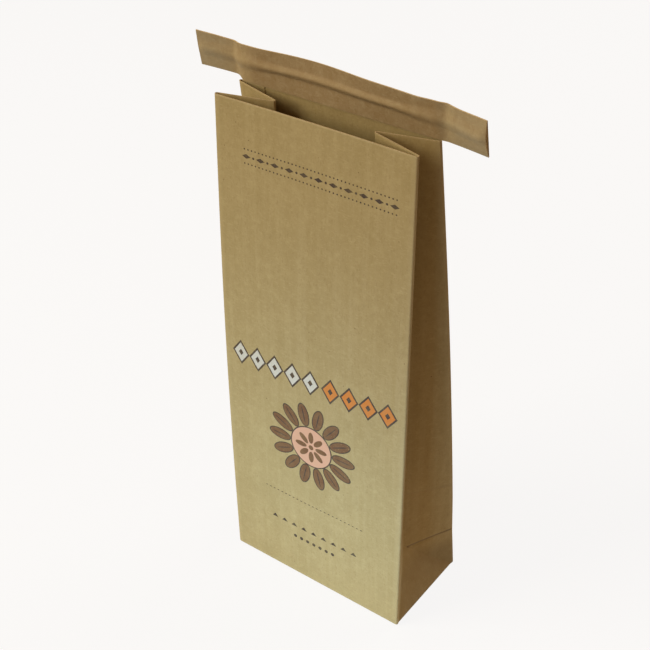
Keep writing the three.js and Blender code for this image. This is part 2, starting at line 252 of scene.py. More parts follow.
@dataclass(frozen=True)
class KraftPaper:
    """Brown kraft, glazed on one face by the machine's hot cylinder.

    The eye sees a dull tan with cloudy blotches where the pulp lay thicker, faint streaks along
    the machine's run, short fibres, and a few dark bark specks. Folds rub paler. The pale colour
    of wear also lays painted highlights on the strip, and a dark colour lays painted shade in the
    creases, towards the base and under the strip's wire.
    """

    name: str
    colour: str = "#ab9766"
    dark: str = "#9f8b5a"
    pale: str = "#b8a574"
    fibre: str = "#8f784b"
    speck: str = "#5e4526"
    # pale colour of wear, also used for painted highlights
    worn_and_lit: str = "#c2b083"
    # dark colour of painted shade
    pressed: str = "#463421"
    cloud_mm: float = 26.0
    streak_mm: float = 3.4
    streak_run_mm: float = 150.0
    blotch_mm: float = 4.5
    fibre_mm: float = 0.7  # a real fibre is 0.03 mm wide, and is drawn coarser to show
    fibre_run_mm: float = 2.0
    speck_pitch_mm: float = 7.0
    speck_mm: float = 0.38
    speck_share: float = 0.8
    speck_choice: Pair = (0.45, 0.55)  # about half of the cells have a speck
    rub_grain: Pair = (0.3, 0.62)
    rub_least: float = 0.35
    relief_mm: float = 0.05
    relief_share: float = 0.55
    gloss: Pair = (0.82, 0.68)
    specular: float = 0.32

    def build(self) -> Material:
        """Makes the material.

        Returns:
            The finished material.
        """
        made = Recipe(self.name)
        streak, fibre, run = self.streak_mm, self.fibre_mm, self.fibre_run_mm
        clouds = made.noise(self.cloud_mm, 4, 0.6)
        streaks = made.noise((streak, streak, self.streak_run_mm), 3, 0.6)
        blotches = made.noise(self.blotch_mm, 3, 0.7)
        fibres = made.noise((fibre, fibre, run), 2, 0.6)
        cross_fibres = made.noise((run, run, fibre), 2, 0.6)
        colour: Any = self.colour
        for noise, tint in (
            (clouds, Tint(self.dark, 0.68, 0.32, 0.55)),
            (streaks, Tint(self.pale, 0.48, 0.75, 0.28)),
            (streaks, Tint(self.dark, 0.48, 0.25, 0.28)),
            (blotches, Tint(self.pale, 0.52, 0.75, 0.5)),
            (blotches, Tint(self.dark, 0.46, 0.26, 0.5)),
            (fibres, Tint(self.fibre, 0.54, 0.74, 0.42)),
            (cross_fibres, Tint(self.pale, 0.54, 0.76, 0.6)),
        ):
            colour = tint.over(made, noise, colour)
        colour = made.mix(self.specks(made), colour, self.speck)
        # wear lightens, with painted highlights on the strip
        grain = made.remap(fibres, *self.rub_grain, (self.rub_least, 1.0))
        rubbed_and_lit = made.sum("MULTIPLY", made.attribute(WEAR_HIGHLIGHT), grain)
        colour = made.mix(rubbed_and_lit, colour, self.worn_and_lit)
        # painted shade darkens creases, the base's foot and the strip's ridge
        colour = made.mix(made.attribute(PAINTED_SHADE), colour, self.pressed)
        relief = made.sum("ADD", fibres, cross_fibres)
        relief = made.sum("ADD", relief, streaks)
        return made.finish({
            "Base Color": colour,
            "Roughness": made.remap(streaks, 0.3, 0.7, self.gloss),
            "Normal": made.bump(self.relief_share, self.relief_mm, relief),
            "Specular IOR Level": self.specular,
        })

    def specks(self, made: Recipe) -> Socket:
        """Share of bark speck at a place.

        Args:
            made: The material in the making.

        Returns:
            A value socket, 0 for clean pulp.
        """
        scale = 1 / (self.speck_pitch_mm * MM)
        inputs = {"Vector": made.place, "Scale": scale, "Randomness": 1.0}
        cells = made.add("ShaderNodeTexVoronoi", inputs, feature="F1")
        reach = self.speck_mm / self.speck_pitch_mm
        near = made.remap(cells["Distance"], reach, reach / 2)
        chosen = made.add("ShaderNodeSeparateColor", {0: cells["Color"]})[0]
        some = made.sum("MULTIPLY", near, made.remap(chosen, *self.speck_choice))
        return made.sum("MULTIPLY", some, self.speck_share)


@dataclass(frozen=True)
class CutKraft:
    """The cut edge of a kraft sheet: torn pale fibres that catch the light."""

    name: str = "cut_kraft_edge"
    colour: str = "#e2d0a6"
    dark: str = "#c8b284"
    grain_mm: float = 0.9
    relief_mm: float = 0.04

    def build(self) -> Material:
        """Makes the material.

        Returns:
            The finished material.
        """
        made = Recipe(self.name)
        grain = made.noise(self.grain_mm, 3, 0.6)
        return made.finish({
            "Base Color": made.mix(made.remap(grain, 0.35, 0.65), self.dark, self.colour),
            "Roughness": 0.9,
            "Normal": made.bump(0.5, self.relief_mm, grain),
            "Specular IOR Level": 0.2,
        })


@dataclass(frozen=True)
class PrintedInk:
    """Water-based ink laid on kraft by a rubber plate: flat, matt and a little starved.

    The paper's fibres show through as pale pinholes and a slight mottle.
    """

    name: str
    colour: str
    paper: str = "#ad9868"
    pinhole_mm: float = 0.8
    cloud_mm: float = 6.0

    def build(self) -> Material:
        """Makes the material.

        Returns:
            The finished material.
        """
        made = Recipe(self.name)
        pinholes = made.noise(self.pinhole_mm, 2, 0.6)
        clouds = made.noise(self.cloud_mm, 2, 0.5)
        laid = Tint(self.paper, 0.35, 0.7, 0.14).over(made, clouds, self.colour)
        laid = Tint(self.paper, 0.6, 0.75, 0.5).over(made, pinholes, laid)
        return made.finish({
            "Base Color": laid,
            "Roughness": made.remap(pinholes, 0.3, 0.7, (0.62, 0.78)),
            "Specular IOR Level": 0.3,
        })


@dataclass(frozen=True)
class AnnealedWire:
    """Soft drawn steel wire: grey, with fine draw lines and a dull satin gloss."""

    name: str = "annealed_steel_wire"
    colour: str = "#9a9c9e"
    dark: str = "#6f7174"
    line_mm: float = 0.12
    run_mm: float = 9.0

    def build(self) -> Material:
        """Makes the material.

        Returns:
            The finished material.
        """
        made = Recipe(self.name)
        lines = made.noise((self.run_mm, self.line_mm, self.line_mm), 2, 0.5)
        return made.finish({
            "Base Color": made.mix(made.remap(lines, 0.3, 0.7), self.dark, self.colour),
            "Metallic": 1.0,
            "Roughness": made.remap(lines, 0.3, 0.7, (0.5, 0.34)),
        })


@dataclass(frozen=True)
class StudioSweep:
    """Matt white studio board. The camera sees it almost white, with the bag's soft shadow."""

    name: str = "matt_white_board"
    colour: str = "#f1efea"
    pale: str = "#ffffff"
    far: str = "#6e6a62"
    near_m: float = 0.12
    far_m: float = 0.5
    lift: float = 0.88
    grain_mm: float = 3.0

    def build(self) -> Material:
        """Makes the material.

        Returns:
            The finished material.
        """
        made = Recipe(self.name)
        grain = made.noise(self.grain_mm, 2, 0.5)
        seen = made.seen()
        reach = made.add("ShaderNodeVectorMath", {0: made.place}, operation="LENGTH")
        away = made.remap(reach["Value"], self.near_m, self.far_m)
        away = made.sum("MULTIPLY", away, made.sum("SUBTRACT", 1.0, seen))
        board = Tint(self.pale, 0.3, 0.7, 0.04).over(made, grain, self.colour)
        matt = made.add("ShaderNodeBsdfDiffuse", {"Color": made.mix(away, board, self.far)})
        white = made.add("ShaderNodeEmission", {"Color": paint(self.pale), "Strength": 1.0})
        share = made.sum("MULTIPLY", seen, self.lift)
        shaders = {0: share, 1: matt[0], 2: white[0]}
        return made.finish(made.add("ShaderNodeMixShader", shaders)[0])


# Meshes


def placed(name: str, data: bpy.types.ID) -> Piece:
    """Puts a mesh, a lamp or a camera in the scene, at the origin.

    Args:
        name: Name of the new object.
        data: What it shows.

    Returns:
        The object.
    """
    made = bpy.data.objects.new(name, data)
    bpy.context.scene.collection.objects.link(made)
    return made


def soften(mesh: Mesh) -> None:
    """Shades a mesh smooth but for its sharp corners."""
    mesh.polygons.foreach_set("use_smooth", [True] * len(mesh.polygons))
    mesh.set_sharp_from_angle(angle=SHARP_ANGLE)


@dataclass
class Shell:
    """Gathers faces, then makes one mesh object of them."""

    points: list[Sequence[float]] = field(default_factory=list)
    wear: list[float] = field(default_factory=list)
    shade: list[float] = field(default_factory=list)
    faces: list[tuple[int, ...]] = field(default_factory=list)
    slots: list[int] = field(default_factory=list)

    def add_points(
        self,
        points: Sequence[Sequence[float]],
        wear: Sequence[float] | None = None,
        shade: Sequence[float] | None = None,
    ) -> list[int]:
        """Adds points.

        Args:
            points: Places in millimetres, one row each.
            wear: Share of wear, and on the strip of painted highlight, at each point.
            shade: Share of painted shade at each point.

        Returns:
            The new points' numbers.
        """
        first = len(self.points)
        self.points.extend(points)
        for kept, given in ((self.wear, wear), (self.shade, shade)):
            kept.extend([0.0] * len(points) if given is None else given)
        return list(range(first, len(self.points)))

    def add_face(self, corners: Sequence[int], slot: int = KRAFT) -> None:
        """Adds one face, seen anticlockwise from outside."""
        self.faces.append(tuple(corners))
        self.slots.append(slot)

    def add_ring(self, low: list[int], high: list[int], slot: int = KRAFT) -> None:
        """Joins two closed rows of points, the lower one anticlockwise from above."""
        for i, k in ring(len(low)):
            self.add_face((low[i], low[k], high[k], high[i]), slot)

    def build(self, name: str, materials: Sequence[Material]) -> Piece:
        """Makes the object, leaving out points that no face uses.

        Args:
            name: Piece's name.
            materials: Material of each slot.

        Returns:
            The new object, at the origin.
        """
        used = sorted({i for f in self.faces for i in f})
        number = {old: new for new, old in enumerate(used)}
        mesh = bpy.data.meshes.new(name)
        places = [[c * MM for c in self.points[i]] for i in used]
        mesh.from_pydata(places, [], [tuple(number[i] for i in f) for f in self.faces])
        mesh.polygons.foreach_set("material_index", self.slots)
        for label, values in ((WEAR_HIGHLIGHT, self.wear), (PAINTED_SHADE, self.shade)):
            attribute = mesh.attributes.new(label, "FLOAT", "POINT")
            attribute.data.foreach_set("value", [values[i] for i in used])
        for material in materials:
            mesh.materials.append(material)
        mesh.update()
        soften(mesh)
        return placed(name, mesh)


def ring(count: int) -> list[tuple[int, int]]:
    """Each number below a count, with the one that follows it round a closed row."""
    return [(i, (i + 1) % count) for i in range(count)]


class Panel(Enum):
    """The faces of the paper tube, with the seed of each one's unevenness."""

    FRONT = 11
    GUSSET_RIGHT = 23
    BACK = 37
    GUSSET_LEFT = 53


@dataclass
class Unevenness:
    """Slow waves that a sheet keeps from handling, made of a few seeded sines for each panel."""

    height: float = 0.34
    longest: float = 130.0
    shortest: float = 34.0
    waves: int = 6
    widest_turn: float = 1.25

    def __post_init__(self) -> None:
        """Draws the waves of each panel."""
        self.table: dict[Panel, np.ndarray] = {}
        for panel in Panel:
            draw = np.random.default_rng(panel.value)
            lengths = draw.uniform(self.shortest, self.longest, self.waves)
            turns = draw.uniform(-self.widest_turn, self.widest_turn, self.waves)
            phases = draw.uniform(0, 2 * math.pi, self.waves)
            self.table[panel] = np.stack([lengths, turns, phases], axis=1)

    def at(self, panel: Panel, across: float, up: float) -> float:
        """Height of the waves at a place.

        Args:
            panel: Face of the tube.
            across: Place across the panel in millimetres.
            up: Place up the panel in millimetres.

        Returns:
            Millimetres out of the panel.
        """
        total = 0.0
        for length, turn, phase in self.table[panel]:
            along = across * math.cos(turn) + up * math.sin(turn)
            total += math.sin(2 * math.pi * along / length + phase) * length / self.longest
        return self.height * total / math.sqrt(self.waves)


@dataclass
class BagSizes:
    """Sizes that the bag and the strip share, in millimetres and degrees."""

    paper: float = 0.35
    fold_radius: float = 0.8
    base_fold_radius: float = 0.9
    heel_radius: float = 1.5
    width: float = 110.0
    base_depth: float = 58.4
    mouth_depth: float = 19.2
    height: float = 281.0
    front_lean: float = 3.9
    side_swell: float = 0.8
    panel_swell: float = 1.3
    front_crown: float = 1.2
    mouth_dish: float = 0.8
    dish_ease: float = 4.0
    crease_inset: float = 15.0
    nose_half: float = 0.5
    gusset_ease: float = 1.6
    crease_dip: float = 0.7
    crease_reach: float = 26.0
    lap_edge: float = 2.0
    lap_width: float = 12.0
    flap_lap: float = 14.0
    base_layers: int = 3
    lip_trim_left: float = 4.0
    lip_trim_right: float = 1.2
    strip_length: float = 157.0
    strip_width: float = 18.7
    lip_drop: float = 0.7
    strip_ply: float = 0.3
    glue_gap: float = 0.15
    wire_radius: float = 0.45
    wire_clearance: float = 0.12
    wire_height: float = 10.4
    wire_recess: float = 2.5
    bump_reach: float = 2.8

    @property
    def crease_height(self) -> float:
        """Height of the creases along which the base block folds flat."""
        return self.base_depth / 2

    @property
    def base_thickness(self) -> float:
        """Thickness of the base's layers."""
        return self.base_layers * self.paper

    @property
    def mouth_inset(self) -> float:
        """Push-in of the gusset's centre fold at the mouth."""
        return math.sqrt((self.base_depth / 2) ** 2 - (self.mouth_depth / 2) ** 2)

    @property
    def mouth_front(self) -> float:
        """Y of the front panel at the mouth."""
        return -self.base_depth / 2 + self.front_lean

    @property
    def mouth_back(self) -> float:
        """Y of the back panel at the mouth."""
        return self.mouth_front + self.mouth_depth

    @property
    def back_lean(self) -> float:
        """Lean of the back panel in radians."""
        return math.atan2(self.base_depth / 2 - self.mouth_back, self.height)

    @property
    def lip_left(self) -> float:
        """X of the lip's left end."""
        return self.lip_trim_left - self.width / 2

    @property
    def lip_right(self) -> float:
        """X of the lip's right end."""
        return self.width / 2 - self.lip_trim_right

    @property
    def channel_radius(self) -> float:
        """Radius of the hollow that the wire lies in."""
        return self.wire_radius + self.wire_clearance

    @property
    def channel_out(self) -> float:
        """Distance of the wire's centre from the strip's back face."""
        return self.strip_ply + self.channel_radius


@dataclass
class Bow:
    """A hand-made bend of the strip, in millimetres and degrees."""

    centre: float
    reach: float
    lean: float


@dataclass
class Wing:
    """Shape of one free end of the strip, in millimetres and degrees."""

    crease: float
    kick_back: float
    curl: float
    lean: float
    root_lean: float
    twist: float
    rise: float
    ridge: float


@dataclass
class StripSpace:
    """Bends straight things to the strip: along X, up the strip, and out of its front."""

    sizes: BagSizes
    bow_back: Bow = field(default_factory=lambda: Bow(-13, 40, -9.1))
    bow_forward: Bow = field(default_factory=lambda: Bow(60, 40, 5.6))
    left: Wing = field(default_factory=lambda: Wing(9.3, 4.65, 4.15, 6.3, -1.3, -2.15, 1.8, 0.2))
    right: Wing = field(default_factory=lambda: Wing(4.6, 0.65, 1.45, -2, -3.3, 5.2, -0.8, 1.6))
    root_reach: float = 12.0
    curl_ease: float = 1.5
    rise_ease: float = 1.3
    slope_step: float = 0.5

    def wing(self, distance: float, start: float, wing: Wing) -> tuple[float, ...]:
        """Shape that one wing adds beyond the lip.

        Args:
            distance: Distance along X from the bag's centre.
            start: Where the lip ends.
            wing: The wing's sizes.

        Returns:
            How far back, lean, rise and ridge.
        """
        half, full = self.sizes.width / 2, self.sizes.strip_length / 2
        left, whole = distance - start, full - start
        crease = smooth(left / wing.crease)
        beyond = clamp01((left - wing.crease / 2) / (whole - wing.crease / 2))
        beside = clamp01((distance - half) / (full - half))
        return (
            wing.kick_back * crease - wing.curl * beyond ** self.curl_ease,
            wing.lean * crease + wing.twist * beyond + wing.root_lean * bell(left / self.root_reach),
            wing.rise * beside ** self.rise_ease,
            wing.ridge * smooth(left / whole),
        )

    def station(self, s: float) -> tuple[np.ndarray, float, float]:
        """Finds the strip's back face at one place along it.

        Args:
            s: Along X from the bag's centre.

        Returns:
            The place of its lower edge, its lean in radians and its ridge.
        """
        z = self.sizes
        start, wing = (-z.lip_left, self.left) if s < 0 else (z.lip_right, self.right)
        back, lean, rise, ridge = self.wing(abs(s), start, wing)
        for bow in (self.bow_back, self.bow_forward):
            lean += bow.lean * bell((s - bow.centre) / bow.reach)
        behind_lip = z.mouth_back - z.paper - z.glue_gap
        origin = np.array([s, behind_lip + back, z.height + 2 * z.glue_gap + rise])
        return origin, z.back_lean + math.radians(lean), ridge

    def point(self, s: float, up: float, out: float) -> list[float]:
        """Maps a place in the strip's space to the bag's.

        Args:
            s: Along X.
            up: Up the strip from its lower edge.
            out: Out of its front from the back face.

        Returns:
            The place in millimetres.
        """
        origin, lean, ridge = self.station(s)
        ahead, behind = self.station(s + self.slope_step)[0], self.station(s - self.slope_step)[0]
        along = ahead - behind
        along /= np.linalg.norm(along)
        upright = np.array([-along[2], -math.sin(lean), math.cos(lean)])
        upright /= np.linalg.norm(upright)
        front = -np.cross(upright, along)
        front /= np.linalg.norm(front)
        across = up / self.sizes.strip_width
        raised = out + ridge * 4 * across * (1 - across)
        return (origin + upright * up + front * raised).tolist()


@dataclass
class Level:
    """The folds' places at one height, in millimetres, for the right half of the tube."""

    half: float
    front: float
    back: float
    push: float
    radius: float

    @property
    def middle(self) -> float:
        """Y of the gusset's centre fold."""
        return (self.front + self.back) / 2

    @property
    def reach(self) -> float:
        """Half of the flat width between the folds."""
        return self.half - self.radius


@dataclass
class PaperBag:
    """The folded paper tube with its block bottom, lap seam and tall back lip."""

    sizes: BagSizes
    space: StripSpace
    unevenness: Unevenness = field(default_factory=Unevenness)
    front_cells: int = 44
    fold_cells: int = 6
    gusset_cells: int = 12
    nose_cells: int = 4
    middle_cells: int = 3
    back_pitch: float = 3.0
    lip_cells: int = 14
    heel_cells: int = 6
    low_cells: int = 13
    second_cells: int = 6
    wall_cells: int = 70
    nose_cut: float = 0.9
    nose_shares: Pair = (0.45, 0.96)  # of the gusset's wall and of its innermost stretch
    calm_foot: float = 12.0
    calm_mouth: float = 22.0
    calm_front_mouth: float = 30.0
    gusset_wave: float = 0.8
    back_wave_shift: float = 90.0
    wave_margin: float = 4.0
    crease_emboss: float = 0.5
    second_emboss: float = 0.2
    crease_half: float = 0.8
    crease_low: float = -2.6
    crease_high: float = 1.6
    crease_line: float = 0.55
    crease_pitch: float = 0.25
    # painted shade on the lower crease's line
    crease_shade: float = 0.62
    crease_wear: float = 0.15
    front_crease_share: float = 0.35
    second_crease: float = 66.5
    second_line: float = 1.65
    # painted shade on the faint upper crease
    second_shade: float = 0.14
    second_wear: float = 0.1
    fold_wear: float = 0.3
    nose_wear: float = 0.2
    heel_wear: float = 0.35
    heel_place: float = 0.9
    heel_reach: float = 2.1
    rim: float = 1.0
    rim_wear: float = 1.0
    # painted shade, darker towards the base
    foot_shade: float = 0.26
    foot_fade: float = 14.0
    base_gap: float = 0.2
    sharpest_mitre: float = 0.5

    def __post_init__(self) -> None:
        """Works out the places across the back panel, and the outline's numbering."""
        self.columns = self.back_stations()
        self.half_side = self.fold_cells + 1 + self.gusset_cells + self.nose_cells + self.middle_cells
        self.first_back = self.front_cells - 1 + 2 * self.half_side - 1

    def level(self, z: float) -> Level:
        """Positions of the folds at a height.

        Args:
            z: Height in millimetres.

        Returns:
            The folds' places.
        """
        s = self.sizes
        share = z / s.height
        swell = math.sin(math.pi * share)
        r, crease = s.heel_radius, s.crease_height
        inset = 0.0 if z >= r else r - math.sqrt(r * r - (r - z) ** 2)
        dip = s.crease_dip * max(0.0, 1 - abs(z - crease) / s.crease_reach)
        closing = 1 - (1 - clamp01((z - crease) / (s.height - crease))) ** s.gusset_ease
        low_push = s.crease_inset * z / crease
        return Level(
            half=s.width / 2 + s.side_swell * swell - inset,
            front=lerp(-s.base_depth / 2, s.mouth_front, share) - s.panel_swell * swell + inset,
            back=lerp(s.base_depth / 2, s.mouth_back, share) + s.panel_swell * swell - inset - dip,
            push=low_push if z < crease else lerp(s.crease_inset, s.mouth_inset, closing),
            radius=lerp(s.base_fold_radius, s.fold_radius, share),
        )

    def nose_half_length(self, z: float, at: Level) -> float:
        """Half length of the gusset's innermost stretch: the base triangle, then the fold.

        Args:
            z: Height in millimetres.
            at: The folds' places there.

        Returns:
            Millimetres from front to back.
        """
        s = self.sizes
        if z >= s.crease_height:
            return s.nose_half
        foot = (at.back - at.front) / 2 - at.radius - s.nose_half
        return lerp(foot, s.nose_half, z / s.crease_height)

    def front_half_side(self, z: float, at: Level) -> np.ndarray:
        """Front half of the right side at a height, from the fold to the gusset's centre.

        Args:
            z: Height in millimetres.
            at: The folds' places there.

        Returns:
            Points in plan, in running order.
        """
        r = at.radius
        centre = np.array([at.half - r, at.front + r])
        nose = np.array([at.half - at.push, at.middle - self.nose_half_length(z, at)])
        middle = np.array([nose[0], at.middle])
        to_nose = nose - centre
        distance = float(np.linalg.norm(to_nose))
        end = math.atan2(to_nose[1], to_nose[0]) - math.acos(min(r / distance, 1.0))
        start = -math.pi / 2
        sweep = (end - start) % (2 * math.pi)
        angles = start + sweep * np.arange(self.fold_cells + 1) / self.fold_cells
        arc = centre + r * np.stack([np.cos(angles), np.sin(angles)], axis=1)
        wall_length = float(np.linalg.norm(nose - arc[-1]))
        nose_length = float(np.linalg.norm(middle - nose))
        of_wall, of_nose = self.nose_shares
        cut = min(self.nose_cut, of_wall * wall_length, of_nose * nose_length)
        before = nose + (arc[-1] - nose) * cut / wall_length
        after = nose + (middle - nose) * cut / nose_length

        def steps(count: int) -> np.ndarray:
            """Shares of a way in equal steps, without its start."""
            return (np.arange(count) + 1)[:, None] / count

        wall = arc[-1] + (before - arc[-1]) * steps(self.gusset_cells)
        t = steps(self.nose_cells)
        bend = before * (1 - t) ** 2 + nose * 2 * t * (1 - t) + after * t ** 2
        rest = after + (middle - after) * steps(self.middle_cells)
        return np.concatenate([arc, wall, bend, rest])

    def back_stations(self) -> list[float]:
        """Lists places across the back panel, with pairs where a layer begins.

        Returns:
            X of each place, from right to left.
        """
        s = self.sizes
        tick = s.paper / 3
        outer = -s.width / 2 + s.lap_edge
        inner = outer + s.lap_width
        edges = sorted([s.lip_right, inner + tick, inner, s.lip_left, outer + tick, outer], reverse=True)
        stations: list[float] = []
        for here, following in zip(edges, edges[1:] + edges[-1:]):
            stations.append(here)
            cells = math.ceil((here - following) / self.back_pitch)
            stations.extend(here - (here - following) * k / cells for k in range(1, cells))
        return stations

    def lap_faces(self, x: float) -> Pair:
        """Finds the sheet's faces across the back panel, where it is one or two layers thick.

        Args:
            x: Place across the panel.

        Returns:
            Outer and inner face, measured out of the mid-surface.
        """
        s = self.sizes
        outer_edge = -s.width / 2 + s.lap_edge
        inner_edge = outer_edge + s.lap_width
        if x <= outer_edge:
            return s.paper / 2, -s.paper / 2
        if x <= inner_edge:
            return s.paper, -s.paper
        settle = s.paper / 2 * (1 - (x - inner_edge) / (s.width / 2 - inner_edge))
        return s.paper / 2 + settle, -s.paper / 2 + settle

    def crease_at(self, along: float) -> float:
        """Height of the lower crease, from 0 at the gusset's centre fold to 1 at the back fold."""
        return self.sizes.crease_height + lerp(self.crease_low, self.crease_high, along)

    def pressed(self, z: float, height: float) -> float:
        """Depth of a pressed crease at a height, as a share."""
        return bell((z - height) / (2 * self.crease_half))

    def side_shade(self, z: float) -> np.ndarray:
        """Painted shade along one side at a height: on the creases, and darker towards the base.

        Args:
            z: Height in millimetres.

        Returns:
            A share for each of the side's points, from front to back.
        """
        shade = np.zeros(2 * self.half_side - 1)
        wall = self.gusset_cells + self.nose_cells
        second = self.second_shade * bell((z - self.second_crease) / self.second_line)
        for j in range(wall + 1):
            along = j / wall
            line = bell((z - self.crease_at(along)) / (2 * self.crease_line)) * smooth(4 * along)
            shade[self.half_side - 1 + self.middle_cells + j] = self.crease_shade * line + second * along
        below = self.crease_at(0.5) - z
        shade[self.fold_cells + 1:] += self.foot_shade * smooth(below / self.foot_fade)
        return shade

    def side_wear(self, z: float) -> np.ndarray:
        """Rubbing of the folds and of the flat-folding creases along one side at a height.

        Args:
            z: Height in millimetres.

        Returns:
            A share for each of the side's points, from front to back.
        """
        wear_half = np.zeros(self.half_side)
        fold = self.fold_cells + 1
        wear_half[:fold] = self.fold_wear
        wear_half[fold + self.gusset_cells:] = self.nose_wear
        wear = np.concatenate([wear_half, wear_half[::-1][1:]])
        crease = self.crease_wear * self.pressed(z, self.crease_at(0.5))
        second = self.second_wear * self.pressed(z, self.second_crease)
        behind = np.arange(len(wear)) > len(wear) / 2
        return np.maximum(wear, np.where(behind, crease + second, crease * self.front_crease_share))

    def side(self, z: float, at: Level, panel: Panel) -> np.ndarray:
        """One side of the tube at a height, drawn on the right from front to back.

        Args:
            z: Height in millimetres.
            at: The folds' places there.
            panel: Which gusset.

        Returns:
            Points in plan.
        """
        half = self.front_half_side(z, at)
        mirrored = half.copy()
        mirrored[:, 1] = 2 * at.middle - mirrored[:, 1]
        points = np.concatenate([half, mirrored[::-1][1:]])
        still = self.stillness(z, self.calm_mouth)
        depth, run = max(at.push, 1.0), max(at.middle - at.front, 1.0)
        length = math.hypot(depth, run)
        for j in range(self.gusset_cells):
            along = (j + 1) / (self.gusset_cells + 1)
            window = math.sin(math.pi * along)
            across = along * (at.push + self.wave_margin)
            i = self.fold_cells + 1 + j
            for i, lean in ((i, 1.0), (len(points) - 1 - i, -1.0)):
                place = across + (0 if lean > 0 else self.back_wave_shift)
                shift = self.gusset_wave * self.unevenness.at(panel, place, z) * still * window
                if lean < 0:
                    line = self.pressed(z, self.crease_at(1 - along)) * smooth(3 * along)
                    shift -= self.crease_emboss * line
                    shift -= self.second_emboss * self.pressed(z, self.second_crease) * window
                points[i] += np.array([run, lean * depth]) * shift / length
        return points

    def stillness(self, z: float, calm_mouth: float) -> float:
        """Share of the sheet's waves that a height keeps, none at the foot and the mouth."""
        return smooth(z / self.calm_foot) * smooth((self.sizes.height - z) / calm_mouth)

    def front_point(self, x: float, z: float, at: Level) -> Pair:
        """Finds the front panel's mid-surface at a place across it.

        Args:
            x: Across the panel from its centre.
            z: Height in millimetres.
            at: The folds' places there.

        Returns:
            The place in plan.
        """
        s = self.sizes
        share = z / s.height
        sag = s.front_crown * math.sin(math.pi * share) - s.mouth_dish * share ** s.dish_ease
        inner = max(0.0, 1 - (x / at.reach) ** 2)
        still = self.stillness(z, self.calm_front_mouth)
        wave = self.unevenness.at(Panel.FRONT, x, z) * still * math.sqrt(inner)
        return x, at.front - sag * inner - wave

    def back_point(self, x: float, z: float, at: Level) -> Pair:
        """Finds the back panel's mid-surface at a place across it.

        Args:
            x: Across the panel from its centre, as at the mouth.
            z: Height in millimetres.
            at: The folds' places there.

        Returns:
            The place in plan.
        """
        mouth_reach = self.sizes.width / 2 - self.sizes.fold_radius
        inner = max(0.0, 1 - (x / mouth_reach) ** 2)
        still = self.stillness(z, self.calm_mouth)
        wave = self.unevenness.at(Panel.BACK, x, z) * still * math.sqrt(inner)
        press = self.crease_emboss * self.pressed(z, self.crease_at(1.0))
        return x * at.reach / mouth_reach, at.back + wave - press

    def outline(self, z: float) -> tuple[np.ndarray, np.ndarray, np.ndarray]:
        """Closed outline of the sheet's mid-surface at a height, anticlockwise.

        Args:
            z: Height in millimetres.

        Returns:
            Points in plan, the share of fold wear at each, and the share of painted shade.
        """
        s = self.sizes
        at = self.level(z)
        across = np.linspace(-1, 1, self.front_cells + 1)[1:-1]
        front = [self.front_point(x * at.reach, z, at) for x in across]
        back = [self.back_point(x, z, at) for x in self.columns]
        left = self.side(z, at, Panel.GUSSET_LEFT)[::-1]
        left[:, 0] *= -1
        points = np.concatenate([front, self.side(z, at, Panel.GUSSET_RIGHT), back, left])
        flat = np.zeros(len(front))
        wear, shade = self.side_wear(z), self.side_shade(z)
        back_wear = self.crease_wear * self.pressed(z, self.crease_at(0.5))
        back_shade = self.crease_shade * bell((z - self.crease_at(1.0)) / (2 * self.crease_line))
        wears = np.concatenate([flat, wear, np.full(len(back), back_wear), wear[::-1]])
        shades = np.concatenate([flat, shade, np.full(len(back), back_shade), shade[::-1]])
        heel = self.heel_wear * bell((z - self.heel_place) / self.heel_reach)
        rim = self.rim_wear * clamp01(1 - (s.height - z) / self.rim)
        return points, np.maximum(wears, max(heel, rim)), shades

    def outward(self, points: np.ndarray) -> np.ndarray:
        """Mitred outward normals of a closed anticlockwise outline.

        Args:
            points: The outline's corners in plan.

        Returns:
            The normal at each corner, longer where the outline turns.
        """
        before = points - np.roll(points, 1, axis=0)
        before /= np.linalg.norm(before, axis=1)[:, None]
        after = np.roll(points, -1, axis=0) - points
        after /= np.linalg.norm(after, axis=1)[:, None]
        mean = before + after
        mean /= np.linalg.norm(mean, axis=1)[:, None]
        cosine = np.maximum(np.sum(mean * after, axis=1), self.sharpest_mitre)
        return np.stack([mean[:, 1], -mean[:, 0]], axis=1) / cosine[:, None]

    def tube_row(self, z: float, face: int) -> tuple[np.ndarray, np.ndarray, np.ndarray]:
        """One level of the tube's outer or inner face.

        Args:
            z: Height of the level.
            face: 0 for the outer face, 1 for the inner one.

        Returns:
            Points, their wear and their painted shade.
        """
        points, wear, shade = self.outline(z)
        offsets = np.full(len(points), (0.5 - face) * self.sizes.paper)
        for k, x in enumerate(self.columns):
            offsets[self.first_back + k] = self.lap_faces(x)[face]
        moved = points + self.outward(points) * offsets[:, None]
        return np.column_stack([moved, np.full(len(points), z)]), wear, shade

    def levels(self) -> list[float]:
        """Lists the tube's levels, closer together at the heel, the creases and the mouth.

        Returns:
            Heights in millimetres.
        """
        s = self.sizes
        margin = 2 * self.crease_half
        low, high = self.crease_at(0) - margin, self.crease_at(1) + margin
        second, steep = self.second_crease, round((high - low) / self.crease_pitch) - 1
        turns = math.pi / 2 * np.arange(self.heel_cells + 1) / self.heel_cells
        levels = [s.heel_radius * (1 - math.cos(a)) for a in turns]
        for start, end, cells in (
            (s.heel_radius, low, self.low_cells),
            (low, high, steep),
            (high, second - margin, self.low_cells),
            (second - margin, second + margin, self.second_cells),
            (second + margin, s.height - self.rim, self.wall_cells),
        ):
            levels.extend(np.linspace(start, end, cells + 1)[1:])
        return [*levels, s.height]

    def lip_row(self, up: float, face: int, count: int) -> list[list[float]]:
        """One level of the lip, which stands above the back panel only.

        Args:
            up: Height up the strip.
            face: 0 for the outer face, 1 for the inner one.
            count: Points in a row of the tube.

        Returns:
            A row's points, of which those beside the back panel are never used.
        """
        s = self.sizes
        points = [[0.0, 0.0, 0.0]] * count
        for c, x in enumerate(self.columns):
            out = -(s.paper + s.glue_gap + self.lap_faces(x)[face])
            points[self.first_back + c] = self.space.point(x, up, out)
        return points

